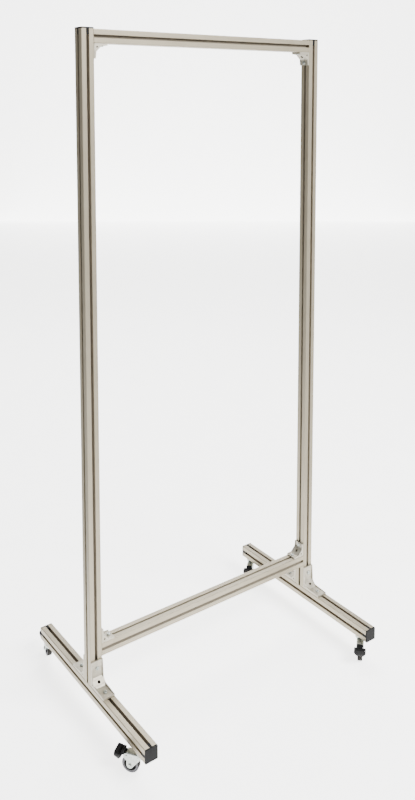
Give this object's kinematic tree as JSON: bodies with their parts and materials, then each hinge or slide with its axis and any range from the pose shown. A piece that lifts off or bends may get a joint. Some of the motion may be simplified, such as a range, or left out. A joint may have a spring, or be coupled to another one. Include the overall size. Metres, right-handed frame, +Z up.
{
  "type": "background support system",
  "caption": "Mobile upright frame of slotted aluminium bar with corner gussets, end caps and braked swivel casters, for holding studio backgrounds.",
  "frame": {"origin": "on the floor, midway between the two posts and midway along the foot beams", "axes": "+Z up, +X from the left post to the right post along the crossbars, -Y towards the front ends of the foot beams"},
  "size_m": [1.0535, 0.8147, 2.2995],
  "materials": {
    "anodised_aluminium": "satin anodised, pale champagne",
    "cast_aluminium": "die-cast, tumbled and powder-dulled",
    "moulded_nylon": "moulded black nylon, fine grain",
    "black_polypropylene": "moulded black polypropylene",
    "grey_rubber": "grey elastic tyre, matt",
    "zinc_plated_steel": "bright zinc plate"
  },
  "bodies": {
    "frame": {"left_post": "anodised_aluminium", "right_post": "anodised_aluminium", "top_crossbar": "anodised_aluminium", "lower_crossbar": "anodised_aluminium", "left_foot_beam": "anodised_aluminium", "right_foot_beam": "anodised_aluminium", "left_post_cap": "moulded_nylon", "left_front_cap": "moulded_nylon", "left_rear_cap": "moulded_nylon", "right_post_cap": "moulded_nylon", "right_front_cap": "moulded_nylon", "right_rear_cap": "moulded_nylon", "left_top_gusset": "cast_aluminium", "left_lower_gusset": "cast_aluminium", "left_front_gusset": "cast_aluminium", "left_rear_gusset": "cast_aluminium", "right_top_gusset": "cast_aluminium", "right_lower_gusset": "cast_aluminium", "right_front_gusset": "cast_aluminium", "right_rear_gusset": "cast_aluminium", "gusset_bolts": "zinc_plated_steel", "gusset_t_nuts": "zinc_plated_steel", "stem_t_nuts": "zinc_plated_steel", "front_left_stem": "zinc_plated_steel", "front_left_race": "zinc_plated_steel", "front_right_stem": "zinc_plated_steel", "front_right_race": "zinc_plated_steel", "rear_left_stem": "zinc_plated_steel", "rear_left_race": "zinc_plated_steel", "rear_right_stem": "zinc_plated_steel", "rear_right_race": "zinc_plated_steel"},
    "caster_front_left": {"front_left_fork": "zinc_plated_steel", "front_left_axle_bolt": "zinc_plated_steel", "front_left_axle_nut": "zinc_plated_steel"},
    "wheel_front_left": {"front_left_wheel_core": "black_polypropylene", "front_left_tyre": "grey_rubber"},
    "brake_front_left": {"front_left_brake_pedal": "moulded_nylon"},
    "caster_front_right": {"front_right_fork": "zinc_plated_steel", "front_right_axle_bolt": "zinc_plated_steel", "front_right_axle_nut": "zinc_plated_steel"},
    "wheel_front_right": {"front_right_wheel_core": "black_polypropylene", "front_right_tyre": "grey_rubber"},
    "brake_front_right": {"front_right_brake_pedal": "moulded_nylon"},
    "caster_rear_left": {"rear_left_fork": "zinc_plated_steel", "rear_left_axle_bolt": "zinc_plated_steel", "rear_left_axle_nut": "zinc_plated_steel"},
    "wheel_rear_left": {"rear_left_wheel_core": "black_polypropylene", "rear_left_tyre": "grey_rubber"},
    "brake_rear_left": {"rear_left_brake_pedal": "moulded_nylon"},
    "caster_rear_right": {"rear_right_fork": "zinc_plated_steel", "rear_right_axle_bolt": "zinc_plated_steel", "rear_right_axle_nut": "zinc_plated_steel"},
    "wheel_rear_right": {"rear_right_wheel_core": "black_polypropylene", "rear_right_tyre": "grey_rubber"},
    "brake_rear_right": {"rear_right_brake_pedal": "moulded_nylon"}
  },
  "joints": [
    {"name": "front_left_swivel", "type": "hinge", "parent": "frame", "child": "caster_front_left", "pos_m": [-0.48, -0.3155, 0.0695], "axis": [0, 0, 1], "continuous": true},
    {"name": "front_left_roll", "type": "hinge", "parent": "caster_front_left", "child": "wheel_front_left", "pos_m": [-0.50292, -0.28395, 0.028], "axis": [-0.809, -0.5878, 0], "continuous": true},
    {"name": "front_left_brake", "type": "hinge", "parent": "caster_front_left", "child": "brake_front_left", "pos_m": [-0.50939, -0.27505, 0.0588], "axis": [-0.809, -0.5878, 0], "range_deg": [0, 20]},
    {"name": "front_right_swivel", "type": "hinge", "parent": "frame", "child": "caster_front_right", "pos_m": [0.48, -0.3155, 0.0695], "axis": [0, 0, 1], "continuous": true},
    {"name": "front_right_roll", "type": "hinge", "parent": "caster_front_right", "child": "wheel_front_right", "pos_m": [0.45102, -0.3416, 0.028], "axis": [0.6691, -0.7431, 0], "continuous": true},
    {"name": "front_right_brake", "type": "hinge", "parent": "caster_front_right", "child": "brake_front_right", "pos_m": [0.44284, -0.34896, 0.0588], "axis": [0.6691, -0.7431, 0], "range_deg": [0, 20]},
    {"name": "rear_left_swivel", "type": "hinge", "parent": "frame", "child": "caster_rear_left", "pos_m": [-0.48, 0.3325, 0.0695], "axis": [0, 0, 1], "continuous": true},
    {"name": "rear_left_roll", "type": "hinge", "parent": "caster_rear_left", "child": "wheel_rear_left", "pos_m": [-0.47189, 0.37065, 0.028], "axis": [-0.9781, 0.2079, 0], "continuous": true},
    {"name": "rear_left_brake", "type": "hinge", "parent": "caster_rear_left", "child": "brake_rear_left", "pos_m": [-0.4696, 0.38141, 0.0588], "axis": [-0.9781, 0.2079, 0], "range_deg": [0, 20]},
    {"name": "rear_right_swivel", "type": "hinge", "parent": "frame", "child": "caster_rear_right", "pos_m": [0.48, 0.3325, 0.0695], "axis": [0, 0, 1], "continuous": true},
    {"name": "rear_right_roll", "type": "hinge", "parent": "caster_rear_right", "child": "wheel_rear_right", "pos_m": [0.45102, 0.3064, 0.028], "axis": [0.6691, -0.7431, 0], "continuous": true},
    {"name": "rear_right_brake", "type": "hinge", "parent": "caster_rear_right", "child": "brake_rear_right", "pos_m": [0.44284, 0.29904, 0.0588], "axis": [0.6691, -0.7431, 0], "range_deg": [0, 20]}
  ]
}
